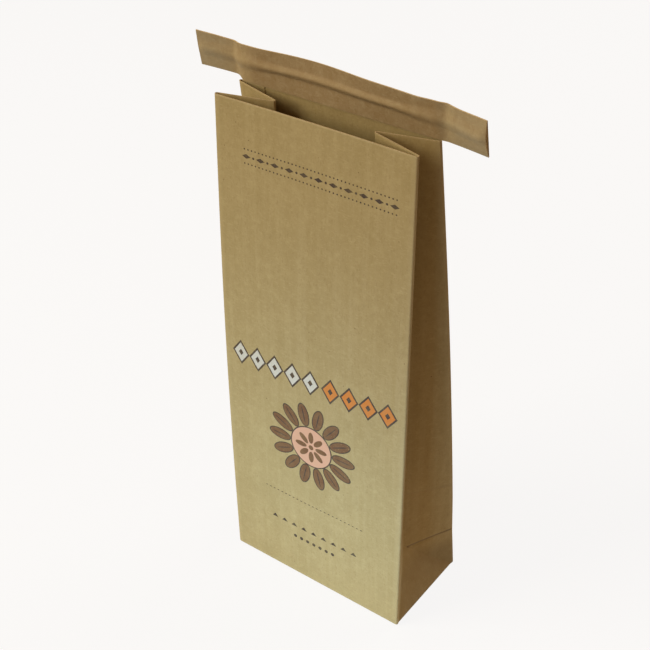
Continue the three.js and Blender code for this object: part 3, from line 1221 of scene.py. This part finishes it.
    def build_walls(self) -> Shell:
        """Closes the sheet's two faces into one body, with the lip above the back panel.

        Returns:
            The faces and the cut edges.
        """
        s = self.sizes
        shell = Shell()
        outer: list[list[int]] = []
        inner: list[list[int]] = []
        for z in self.levels():
            row, wear, shade = self.tube_row(z, 0)
            outer.append(shell.add_points(row.tolist(), wear, shade))
            raised = z + s.base_thickness * max(0.0, 1 - z / s.crease_height)
            row, wear, _ = self.tube_row(raised, 1)
            inner.append(shell.add_points(row.tolist(), wear))
        mouth, count = len(outer) - 1, len(outer[0])
        for k in range(1, self.lip_cells + 1):
            up = (s.strip_width - s.lip_drop) * k / self.lip_cells
            for face, rows in enumerate((outer, inner)):
                rows.append(shell.add_points(self.lip_row(up, face, count)))

        def present(column: int, row: int) -> bool:
            """Whether the sheet has a cell there: all round the tube, then on the lip only.

            Args:
                column: The cell's place round the outline, which may run past its end.
                row: The cell's level.

            Returns:
                True for a cell of paper.
            """
            if row < mouth:
                return True
            k = column % count - self.first_back
            if row == len(outer) - 1 or not 0 <= k < len(self.columns) - 1:
                return False
            return self.columns[k] <= s.lip_right and self.columns[k + 1] >= s.lip_left

        for j in range(len(outer) - 1):
            for i, k in ring(count):
                if not present(i, j):
                    continue
                a, b, c, d = outer[j][i], outer[j][k], outer[j + 1][k], outer[j + 1][i]
                p, q, r, t = inner[j][i], inner[j][k], inner[j + 1][k], inner[j + 1][i]
                shell.add_face((a, b, c, d))
                shell.add_face((p, t, r, q))
                if not present(i, j + 1):
                    shell.add_face((d, c, r, t), CUT)
                if not present(i + 1, j):
                    shell.add_face((b, q, r, c), CUT)
                if not present(i - 1, j):
                    shell.add_face((a, d, t, p), CUT)
        self.close_base(shell, outer[0], inner[0])
        return shell

    def close_base(self, shell: Shell, outer: list[int], inner: list[int]) -> None:
        """Closes the tube's foot with a floor, above the flaps that `BaseFlaps` adds.

        Args:
            shell: Faces so far.
            outer: Lowest row of the outer face.
            inner: Lowest row of the inner face.
        """
        s = self.sizes
        rim = np.array([shell.points[i] for i in outer])
        rim[:, :2] -= self.outward(rim[:, :2]) * s.paper
        rim[:, 2] = s.base_thickness - self.base_gap
        raised = shell.add_points(rim.tolist())
        for i, k in ring(len(outer)):
            shell.add_face((outer[k], outer[i], raised[i], raised[k]))
        shell.add_face(raised[::-1])
        shell.add_face(inner)

    def surface(self, x: float, z: float, lift: float) -> list[float]:
        """A place on the front panel's outer face, or just off it.

        Args:
            x: Across the panel from its centre.
            z: Height.
            lift: Distance out of the paper.

        Returns:
            The place in millimetres.
        """
        _, y = self.front_point(x, z, self.level(z))
        return [x, y - self.sizes.paper / 2 - lift, z]

    def build(self, kraft: Material, cut: Material) -> Piece:
        """Makes the bag's walls and lip and dresses them.

        Args:
            kraft: The sheet's faces.
            cut: Its cut edges.

        Returns:
            The piece.
        """
        walls = self.build_walls().build("bag_paper", [kraft, cut])
        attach(walls, "root")
        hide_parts("bag")
        return walls


@dataclass
class BaseFlaps:
    """The envelope folds under the base: end flaps, then the front flap, then the back flap."""

    sizes: BagSizes
    thinned: float = 0.92
    settled: float = 0.9
    gap: float = 0.02

    def add_flap(self, shell: Shell, corners: list[Pair], fall: Callable[[float, float], float]) -> None:
        """Adds one flap, a paper's thickness over a sloping underside.

        Args:
            shell: Faces so far.
            corners: Plan, anticlockwise from above.
            fall: Height of the underside at a place.
        """
        low = [(x, y, fall(x, y)) for x, y in corners]
        bottom = shell.add_points(low)
        top = shell.add_points([(x, y, z + self.sizes.paper * self.thinned) for x, y, z in low])
        shell.add_face(bottom[::-1])
        shell.add_face(top)
        shell.add_ring(bottom, top, CUT)

    def build(self, kraft: Material, cut: Material) -> Piece:
        """Makes the flaps and dresses them.

        Args:
            kraft: Their faces.
            cut: Their cut edges.

        Returns:
            The piece.
        """
        s = self.sizes
        foot = s.base_depth / 2 - s.heel_radius - s.paper
        side = s.width / 2 - s.heel_radius - s.paper
        lap = s.flap_lap / 2
        short = side - (foot + lap)
        rise = 2 * s.paper * self.settled

        def front_fall(_: float, y: float) -> float:
            """Underside of the front flap, which climbs on to the back flap."""
            return s.paper * clamp01((y + foot) / (lap + foot)) + self.gap

        def end_fall(x: float, _: float) -> float:
            """Underside of an end flap, which climbs on to both long flaps."""
            return rise * clamp01((side - abs(x)) / foot) + 2 * self.gap

        shell = Shell()
        back = [(-side, foot), (-short, -lap), (short, -lap), (side, foot)]
        front = [(-side, -foot), (side, -foot), (short, lap), (-short, lap)]
        self.add_flap(shell, back, lambda x, y: 0.0)
        self.add_flap(shell, front, front_fall)
        self.add_flap(shell, [(side, -foot), (side, foot), (side - foot, 0)], end_fall)
        self.add_flap(shell, [(-side, -foot), (foot - side, 0), (-side, foot)], end_fall)
        made = shell.build("base_flaps", [kraft, cut])
        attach(made, "root")
        return made


@dataclass(frozen=True)
class Band:
    """A mark across the strip: where it lies, how far it fades out, and its share."""

    place: float
    reach: float
    share: float

    def at(self, place: float) -> float:
        """Share of the mark at a place along its line."""
        return self.share * bell((place - self.place) / self.reach)


@dataclass
class ClosureStrip:
    """Two plies of kraft glued round a wire, with the wire's bump along the front."""

    sizes: BagSizes
    space: StripSpace
    stations: int = 150
    flat_cells: int = 8
    bump_cells: int = 16
    channel_sides: int = 12
    ply_notch: float = 0.06
    ply_rounding: float = 0.1
    wing_bump_reach: float = 5.2
    bump_widens: float = 30.0
    bump_eases: float = 24.0
    end_bump: float = 0.12
    # handling wear and a painted highlight on the free ends
    handled_and_lit: float = 0.28
    handled_and_lit_from: float = 51.0
    handled_and_lit_ease: float = 7.0
    crest: Band = Band(1.1, 1.6, 0.26)  # up from the wire; wear and a painted highlight along the wire's ridge
    # painted shade under the wire's ridge
    foot: Band = Band(-2.24, 1.5, 0.1)
    wing_crest: float = 0.615  # what the free ends keep of the crest's wear and painted highlight
    wing_foot: float = 0.3
    # painted highlights beside the wings' creases
    painted_highlight_bands: tuple[Band, ...] = (Band(-50.0, 5.5, 0.4), Band(59.0, 5.0, 0.16))
    # painted shade beside the right wing's crease
    painted_shade_band: Band = Band(54.5, 3.5, 0.14)

    def section(self, place: float) -> tuple[list[Pair], list[Pair]]:
        """The strip's section, drawn up the strip and out of its front.

        Args:
            place: Distance along X from the bag's centre.

        Returns:
            The outline and the wire's channel.
        """
        s = self.sizes
        ply, distance = s.strip_ply, abs(place)
        share = lerp(self.end_bump, 1.0, smooth((s.strip_length / 2 - distance) / s.wire_recess))
        radius = s.channel_radius * share
        widened = smooth((distance - self.bump_widens) / self.bump_eases)
        reach = lerp(s.bump_reach, self.wing_bump_reach, widened)
        top, low, high = s.strip_width, s.wire_height - reach, s.wire_height + reach

        def run(start: float, end: float, cells: int) -> list[Pair]:
            """Points of the front face from one height up to, but not at, another."""
            ups = [lerp(start, end, i / cells) for i in range(cells)]
            return [(up, 2 * ply + 2 * radius * bell((up - s.wire_height) / reach)) for up in ups]

        back_cells = 2 * self.flat_cells
        less, more = ply * (1 - self.ply_rounding), ply * (1 + self.ply_rounding)
        outline = [
            *((top * i / back_cells, 0.0) for i in range(back_cells + 1)),
            (top, less),
            (top - self.ply_notch, ply),
            (top, more),
            *run(top, high, self.flat_cells),
            *run(high, low, self.bump_cells),
            *run(low, 0.0, self.flat_cells),
            *run(0.0, 0.0, 1),
            (0.0, more),
            (self.ply_notch, ply),
            (0.0, less),
        ]
        angles = [2 * math.pi / self.channel_sides * i for i in range(self.channel_sides)]
        centre = ply + radius
        channel = [(s.wire_height + radius * math.cos(a), centre + radius * math.sin(a)) for a in angles]
        return outline, channel

    def wear_and_painted_light(self, place: float, outline: list[Pair]) -> tuple[list[float], list[float]]:
        """Wear, painted highlight and painted shade of one section: paler along the wire's crest from
        wear and a painted highlight, darker at its foot with painted shade.

        Args:
            place: Distance along X from the bag's centre.
            outline: The section's points.

        Returns:
            Share of wear with painted highlight, and share of painted shade, at each point.
        """
        s = self.sizes
        handled_and_lit = self.handled_and_lit * smooth((abs(place) - self.handled_and_lit_from) / self.handled_and_lit_ease)
        # handling wear and painted highlights
        worn_and_lit = handled_and_lit + sum(band.at(place) for band in self.painted_highlight_bands)
        outer = smooth((abs(place) - self.bump_widens) / self.bump_eases)
        crest, foot = lerp(1.0, self.wing_crest, outer), lerp(1.0, self.wing_foot, outer)
        wear, shade = [], []
        for up, out in outline:
            front, above = out > 1.5 * s.strip_ply, up - s.wire_height
            wear.append(min(worn_and_lit + front * self.crest.at(above) * crest, 1.0))
            # painted shade under the ridge and beside the right wing's crease
            shade.append(front * (self.foot.at(above) * foot + self.painted_shade_band.at(place)))
        return wear, shade

    def add_end(
        self, shell: Shell, row: list[int], outline: list[Pair], channel: list[Pair], left: bool
    ) -> None:
        """Closes one end of the strip round the wire's channel.

        Args:
            shell: Faces so far.
            row: Numbers of the outline's points, then the channel's.
            outline: The end's outline.
            channel: The channel's outline there.
            left: Whether it is the left end.
        """
        flat = [*outline, *channel]
        loops = [[Vector((u, o, 0)) for u, o in loop] for loop in (outline, channel)]
        for a, b, c in tessellate_polygon(loops):
            (ua, oa), (ub, ob), (uc, oc) = flat[a], flat[b], flat[c]
            turn = (ub - ua) * (oc - oa) - (ob - oa) * (uc - ua)
            corners = (a, b, c) if (turn > 0) != left else (a, c, b)
            shell.add_face([row[i] for i in corners], CUT)

    def build(self, kraft: Material, cut: Material) -> Piece:
        """Makes the strip and dresses it.

        Args:
            kraft: Its faces.
            cut: Its cut edges and ends.

        Returns:
            The piece.
        """
        s = self.sizes
        shell = Shell()
        outer, inner = [], []
        for x in np.linspace(-s.strip_length / 2, s.strip_length / 2, self.stations + 1):
            outline, channel = self.section(x)
            row = [self.space.point(x, u, o) for u, o in outline]
            outer.append(shell.add_points(row, *self.wear_and_painted_light(x, outline)))
            inner.append(shell.add_points([self.space.point(x, u, o) for u, o in channel]))
        notched = [self.ply_notch, s.strip_width - self.ply_notch]
        edge = {i for i, (up, _) in enumerate(outline) if up in (0.0, s.strip_width, *notched)}
        for j in range(self.stations):
            for i, k in ring(len(outline)):
                corners = (outer[j][i], outer[j][k], outer[j + 1][k], outer[j + 1][i])
                shell.add_face(corners, CUT if i in edge and k in edge else KRAFT)
        for j in range(self.stations):
            shell.add_ring(inner[j + 1], inner[j])
        self.add_end(shell, outer[0] + inner[0], outline, channel, True)
        self.add_end(shell, outer[-1] + inner[-1], outline, channel, False)
        made = shell.build("closure_strip_paper", [kraft, cut])
        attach(made, "root")
        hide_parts("closure_strip")
        return made


# Node rules, for what follows a line or repeats


class Rule(Graph):
    """A geometry node tree that ends in one material, and is run once on each set of values."""

    def __init__(self, name: str, **inputs: str) -> None:
        """Starts the tree.

        Args:
            name: What the rule makes.
            inputs: Each input's name, with what kind of value it takes.
        """
        super().__init__(bpy.data.node_groups.new(name, "GeometryNodeTree"))
        self.tree.is_modifier = True
        for label, kind in {**inputs, "Material": "Material"}.items():
            self.tree.interface.new_socket(label, in_out="INPUT", socket_type=f"NodeSocket{kind}")
        self.tree.interface.new_socket("Geometry", in_out="OUTPUT", socket_type="NodeSocketGeometry")
        self.given = self.add("NodeGroupInput")

    def end(self, geometry: Socket) -> None:
        """Ends the tree with its instances made real and dressed in the material.

        Args:
            geometry: What the rule has made.
        """
        real = self.add("GeometryNodeRealizeInstances", {0: geometry})[0]
        inputs = {"Geometry": real, "Material": self.given["Material"]}
        self.add("NodeGroupOutput", {0: self.add("GeometryNodeSetMaterial", inputs)[0]})

    def run(self, values: dict[str, Any], start: Mesh | None = None) -> Mesh:
        """Runs the tree and keeps the plain result.

        Args:
            values: Value of each named input.
            start: Mesh that the rule starts from.

        Returns:
            The mesh, with its material.
        """
        host = placed("rule_host", start or bpy.data.meshes.new("rule_start"))
        modifier = host.modifiers.new("rule", "NODES")
        modifier.node_group = self.tree
        for item in self.tree.interface.items_tree:
            if item.in_out == "INPUT" and item.name in values:
                modifier[item.identifier] = values[item.name]
        graph = bpy.context.evaluated_depsgraph_get()
        result = bpy.data.meshes.new_from_object(host.evaluated_get(graph), depsgraph=graph)
        bpy.data.objects.remove(host)
        return result


@dataclass
class TieWire:
    """The wire between the strip's plies, swept along the strip's line."""

    sizes: BagSizes
    space: StripSpace
    pitch: float = 1.5
    sides: int = 14

    def rule(self) -> Rule:
        """The sweep: a round profile carried along a line of points.

        Returns:
            The rule.
        """
        rule = Rule("wire_along_line", Geometry="Geometry", Radius="Float", Sides="Int")
        line = rule.add("GeometryNodeMeshToCurve", {0: rule.given["Geometry"]})[0]
        round_inputs = {"Resolution": rule.given["Sides"], "Radius": rule.given["Radius"]}
        profile = rule.add("GeometryNodeCurvePrimitiveCircle", round_inputs)[0]
        sweep = {"Curve": line, "Profile Curve": profile, "Fill Caps": True}
        rule.end(rule.add("GeometryNodeCurveToMesh", sweep)[0])
        return rule

    def build(self, steel: Material) -> Piece:
        """Makes the wire and dresses it.

        Args:
            steel: The wire's material.

        Returns:
            The piece.
        """
        s = self.sizes
        half = s.strip_length / 2 - s.wire_recess
        count = round(2 * half / self.pitch)
        places = np.linspace(-half, half, count + 1)
        points = [[c * MM for c in self.space.point(x, s.wire_height, s.channel_out)] for x in places]
        line = bpy.data.meshes.new("wire_line")
        line.from_pydata(points, [(i, i + 1) for i in range(count)], [])
        values = {"Radius": s.wire_radius * MM, "Sides": self.sides, "Material": steel}
        mesh = self.rule().run(values, line)
        soften(mesh)
        mesh.name = "tie_wire_steel"
        made = placed("tie_wire_steel", mesh)
        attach(made, "root")
        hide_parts("tie_wire")
        return made


class InkColour(Enum):
    """The print's inks."""

    BROWN = "#3f3126"
    WHITE = "#c9c6b6"
    ORANGE = "#c87a2e"
    ROSE = "#cf9f80"
    BARK = "#6d4a2b"


class Path(Enum):
    """What a motif repeats along."""

    ROW = "row"
    RING = "ring"


@dataclass(frozen=True)
class Motif:
    """One small shape repeated along a row or round a ring, in millimetres on the flat panel.

    The spacing is a row's pitch or a ring's radius. On a ring, each shape points outwards.
    """

    path: Path
    ink: InkColour
    centre: Pair
    count: int
    spacing: float
    size: Pair
    corners: int
    layer: int = 0
    turn: float = 0.0

    @property
    def values(self) -> dict[str, Any]:
        """Inputs for the motif's rule, but for its material.

        Returns:
            A value for each input's name.
        """
        shape = {"Count": self.count, "Corners": self.corners, "Size": (*self.size, 1.0)}
        if self.path is Path.RING:
            return shape | {"Ring": self.spacing}
        first = (-self.spacing * (self.count - 1) / 2, 0.0, 0.0)
        turn = (0.0, 0.0, math.radians(self.turn))
        return shape | {"First": first, "Step": (self.spacing, 0.0, 0.0), "Turn": turn}


ROW, RING = Path.ROW, Path.RING
BROWN, BARK = InkColour.BROWN, InkColour.BARK


@dataclass
class PrintedDesign:
    """A plain ornament on the front panel: rules, a band of lozenges and a leaf rosette."""

    bag: PaperBag
    lift: float = 0.03
    layer_step: float = 0.035
    sink: float = 0.08
    motifs: tuple[Motif, ...] = (
        Motif(ROW, BROWN, (4, 258.2), 41, 2.1, (0.42, 0.42), 12),
        Motif(ROW, BROWN, (4, 254.6), 11, 8.2, (2.5, 1.15), 4),
        Motif(ROW, BROWN, (4, 254.6), 10, 8.2, (0.62, 0.62), 14),
        Motif(ROW, BROWN, (4, 251.0), 41, 2.1, (0.42, 0.42), 12),
        Motif(ROW, BROWN, (-22.5, 141.5), 5, 11.2, (5.6, 7.6), 4),
        Motif(ROW, InkColour.WHITE, (-22.5, 141.5), 5, 11.2, (4.4, 6.0), 4, 1),
        Motif(ROW, BROWN, (-22.5, 141.5), 5, 11.2, (1.5, 2.0), 4, 2),
        Motif(ROW, BROWN, (29.0, 141.5), 4, 11.2, (5.6, 7.6), 4),
        Motif(ROW, InkColour.ORANGE, (29.0, 141.5), 4, 11.2, (4.4, 6.0), 4, 1),
        Motif(ROW, BROWN, (29.0, 141.5), 4, 11.2, (1.5, 2.0), 4, 2),
        Motif(RING, BROWN, (0, 100), 14, 20.2, (7.2, 3.5), 24),
        Motif(RING, BARK, (0, 100), 14, 20.2, (6.5, 2.9), 24, 1),
        Motif(RING, BROWN, (0, 100), 14, 20.2, (5.2, 0.35), 8, 2),
        Motif(ROW, BROWN, (0, 100), 1, 1, (13.1, 13.1), 48, 1),
        Motif(ROW, InkColour.ROSE, (0, 100), 1, 1, (12.4, 12.4), 48, 2),
        Motif(RING, BARK, (0, 100), 8, 6.4, (3.6, 1.6), 20, 3),
        Motif(ROW, BARK, (0, 100), 1, 1, (1.5, 1.5), 20, 3),
        Motif(ROW, BROWN, (0, 58.0), 25, 2.6, (0.8, 0.36), 4),
        Motif(ROW, BROWN, (0, 37.5), 9, 6.6, (2.3, 1.5), 3, turn=90),
        Motif(ROW, BROWN, (0, 29.5), 7, 4.2, (1.1, 1.1), 16),
    )

    @staticmethod
    def rule(path: Path) -> Rule:
        """One filled shape at each point of a line, or of a circle and pointing outwards.

        Args:
            path: What the shapes stand on.

        Returns:
            The rule.
        """
        row = path is Path.ROW
        own = {"First": "Vector", "Step": "Vector", "Turn": "Vector"} if row else {"Ring": "Float"}
        rule = Rule(f"motifs_in_a_{path.value}", Count="Int", Corners="Int", Size="Vector", **own)
        given = rule.given
        circle = {"Vertices": given["Corners"], "Radius": 1.0}
        shape = rule.add("GeometryNodeMeshCircle", circle, fill_type="NGON")[0]
        stand = {"Instance": shape, "Scale": given["Size"]}
        if row:
            turned = rule.add("GeometryNodeTransform", {"Geometry": shape, "Rotation": given["Turn"]})
            line = {"Count": given["Count"], "Start Location": given["First"], "Offset": given["Step"]}
            points = rule.add("GeometryNodeMeshLine", line, mode="OFFSET")[0]
            stand |= {"Points": points, "Instance": turned[0]}
        else:
            around = {"Vertices": given["Count"], "Radius": given["Ring"]}
            points = rule.add("GeometryNodeMeshCircle", around, fill_type="NONE")[0]
            place = rule.add("ShaderNodeSeparateXYZ", {0: rule.add("GeometryNodeInputPosition")[0]})
            bearing = rule.sum("ARCTAN2", place[1], place[0])
            facing = rule.add("ShaderNodeCombineXYZ", {2: bearing})[0]
            stand |= {"Points": points, "Rotation": facing}
        rule.end(rule.add("GeometryNodeInstanceOnPoints", stand)[0])
        return rule

    def build(self) -> Piece:
        """Makes the whole ornament as one piece of thin ink on the panel.

        Returns:
            The piece.
        """
        inks = {c: PrintedInk(f"printed_{c.name.lower()}_ink", c.value).build() for c in InkColour}
        rules = {path: self.rule(path) for path in Path}
        shell = Shell()
        for motif in self.motifs:
            flat = rules[motif.path].run(motif.values | {"Material": inks[motif.ink]})
            lift = self.lift + self.layer_step * motif.layer
            for polygon in flat.polygons:
                corners = [flat.vertices[i].co for i in polygon.vertices]
                if polygon.normal.z < 0:
                    corners.reverse()
                places = [(motif.centre[0] + c.x, motif.centre[1] + c.y) for c in corners]
                self.add_ink(shell, places, lift, list(InkColour).index(motif.ink))
            bpy.data.meshes.remove(flat)
        made = shell.build("front_print", list(inks.values()))
        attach(made, "root")
        return made

    def add_ink(self, shell: Shell, places: list[Pair], lift: float, slot: int) -> None:
        """Adds one closed film of ink over a flat shape.

        Args:
            shell: Faces so far.
            places: The shape's corners on the panel, anticlockwise from the front.
            lift: Height of the film's face.
            slot: Its ink.
        """
        all_places = [*places, tuple(np.mean(places, axis=0))]
        upper = shell.add_points([self.bag.surface(x, z, lift) for x, z in all_places])
        lower = shell.add_points([self.bag.surface(x, z, -self.sink) for x, z in all_places])
        centre = len(places)
        for i, k in ring(centre):
            shell.add_face((upper[i], upper[k], upper[centre]), slot)
            shell.add_face((lower[k], lower[i], lower[centre]), slot)
            shell.add_face((lower[i], lower[k], upper[k], upper[i]), slot)


# Studio


@dataclass(frozen=True)
class Lamp:
    """A soft square lamp: what it points at, and where it stands from there, in metres."""

    name: str
    target: Triple
    direction: Triple
    distance: float
    size: float
    power: float
    colour: str

    def build(self) -> Piece:
        """Adds the lamp.

        Returns:
            The lamp.
        """
        data = bpy.data.lights.new(self.name, "AREA")
        data.shape, data.size, data.energy = "SQUARE", self.size, self.power
        data.color = linear_colour(self.colour)[:3]
        lamp = placed(self.name, data)
        direction = Vector(self.direction).normalized()
        lamp.location = Vector(self.target) + direction * self.distance
        lamp.rotation_mode = "QUATERNION"
        lamp.rotation_quaternion = (-direction).to_track_quat("-Z", "Y")
        lamp.visible_camera = False
        return lamp


@dataclass
class Studio:
    """Floor, lamps and the camera at the photograph's angle. Places are in metres."""

    camera_place: Triple = (0.2934, -0.4097, 0.5125)
    bearing: float = 36.76
    height_angle: float = 34.97
    roll: float = -0.75
    lens: float = 67.57
    sensor: float = 36.0
    clip: Pair = (0.01, 20.0)
    floor_half: float = 3.0
    key: Lamp = Lamp("key", (0, 0, 0.13), (-0.6, -0.72, 0.55), 1.7, 0.9, 18.6, "#fff8e6")
    rear: Lamp = Lamp("rear", (0, 0, 0.13), (0.35, 1.0, 0.6), 1.7, 0.9, 7.0, "#fff6e6")
    card: Lamp = Lamp("card", (0, -0.03, 0.015), (0.1, -1.0, 0.0), 0.17, 0.15, 0.55, "#a8d6ff")
    fill_strength: float = 0.32
    fill_colour: str = "#ffcb9e"

    def build_camera(self) -> None:
        """Puts the camera where the photograph was taken from."""
        a, e, r = (math.radians(v) for v in (self.bearing, self.height_angle, self.roll))
        back = Vector((math.sin(a) * math.cos(e), -math.cos(a) * math.cos(e), math.sin(e)))
        right = Vector((math.cos(a), math.sin(a), 0))
        up = back.cross(right)
        level = math.cos(r) * right + math.sin(r) * up
        upright = -math.sin(r) * right + math.cos(r) * up
        data = bpy.data.cameras.new("camera")
        data.lens, data.sensor_width = self.lens, self.sensor
        data.clip_start, data.clip_end = self.clip
        camera = placed("camera", data)
        turn = Matrix((level, upright, back)).transposed().to_4x4()
        camera.matrix_world = Matrix.Translation(self.camera_place) @ turn
        bpy.context.scene.camera = camera

    def build_floor(self) -> Piece:
        """Lays the pale board that the bag stands on.

        Returns:
            The board.
        """
        mesh = bpy.data.meshes.new("floor")
        h = self.floor_half
        mesh.from_pydata([(-h, -h, 0), (h, -h, 0), (h, h, 0), (-h, h, 0)], [], [(0, 1, 2, 3)])
        mesh.materials.append(StudioSweep().build())
        floor = placed("floor", mesh)
        return floor

    def build_lamps(self, floor: Piece) -> None:
        """Adds the soft key and rear lamps, and the low card's light, kept off the floor.

        Args:
            floor: The board, which the card doesn't light, as a flag set under it would do.
        """
        self.key.build()
        self.rear.build()
        unlit = bpy.data.collections.new("unlit_by_card")
        unlit.objects.link(floor)
        self.card.build().light_linking.receiver_collection = unlit
        unlit.collection_objects[0].light_linking.link_state = "EXCLUDE"

    def build_room(self) -> None:
        """Adds the warm surround that lights the bag, and that the camera sees as white."""
        world = bpy.data.worlds.new("pale_room")
        world.use_nodes = True
        made = Graph(world.node_tree)
        made.tree.nodes.clear()
        fill = {"Color": linear_colour(self.fill_colour), "Strength": self.fill_strength}
        room = made.add("ShaderNodeBackground", fill)[0]
        white = made.add("ShaderNodeBackground", {"Color": paint(StudioSweep.pale), "Strength": 1.0})[0]
        mix = made.add("ShaderNodeMixShader", {0: made.seen(), 1: room, 2: white})[0]
        made.add("ShaderNodeOutputWorld", {"Surface": mix})
        bpy.context.scene.world = world

    def build(self) -> None:
        """Makes the whole setting."""
        self.build_camera()
        self.build_lamps(self.build_floor())
        self.build_room()
        bpy.context.scene.view_settings.view_transform = "Standard"


def main() -> None:
    """Builds every piece in order and reports it."""
    sizes = BagSizes()
    space = StripSpace(sizes)
    Studio().build()
    kraft = KraftPaper("machine_glazed_kraft").build()
    strip_kraft = KraftPaper(
        "laminated_kraft_strip",
        colour="#a18c66",
        dark="#91784f",
        pale="#b09e79",
        fibre="#846c43",
        streak_run_mm=6.0,
    ).build()
    cut = CutKraft().build()
    bag = PaperBag(sizes, space)
    pieces = [
        bag.build(kraft, cut),
        BaseFlaps(sizes).build(kraft, cut),
        ClosureStrip(sizes, space).build(strip_kraft, cut),
        TieWire(sizes, space).build(AnnealedWire().build()),
        PrintedDesign(bag).build(),
    ]
    for piece in pieces:
        log.info("%s: %d faces", piece.name, len(piece.data.polygons))


if __name__ == "__main__":
    main()
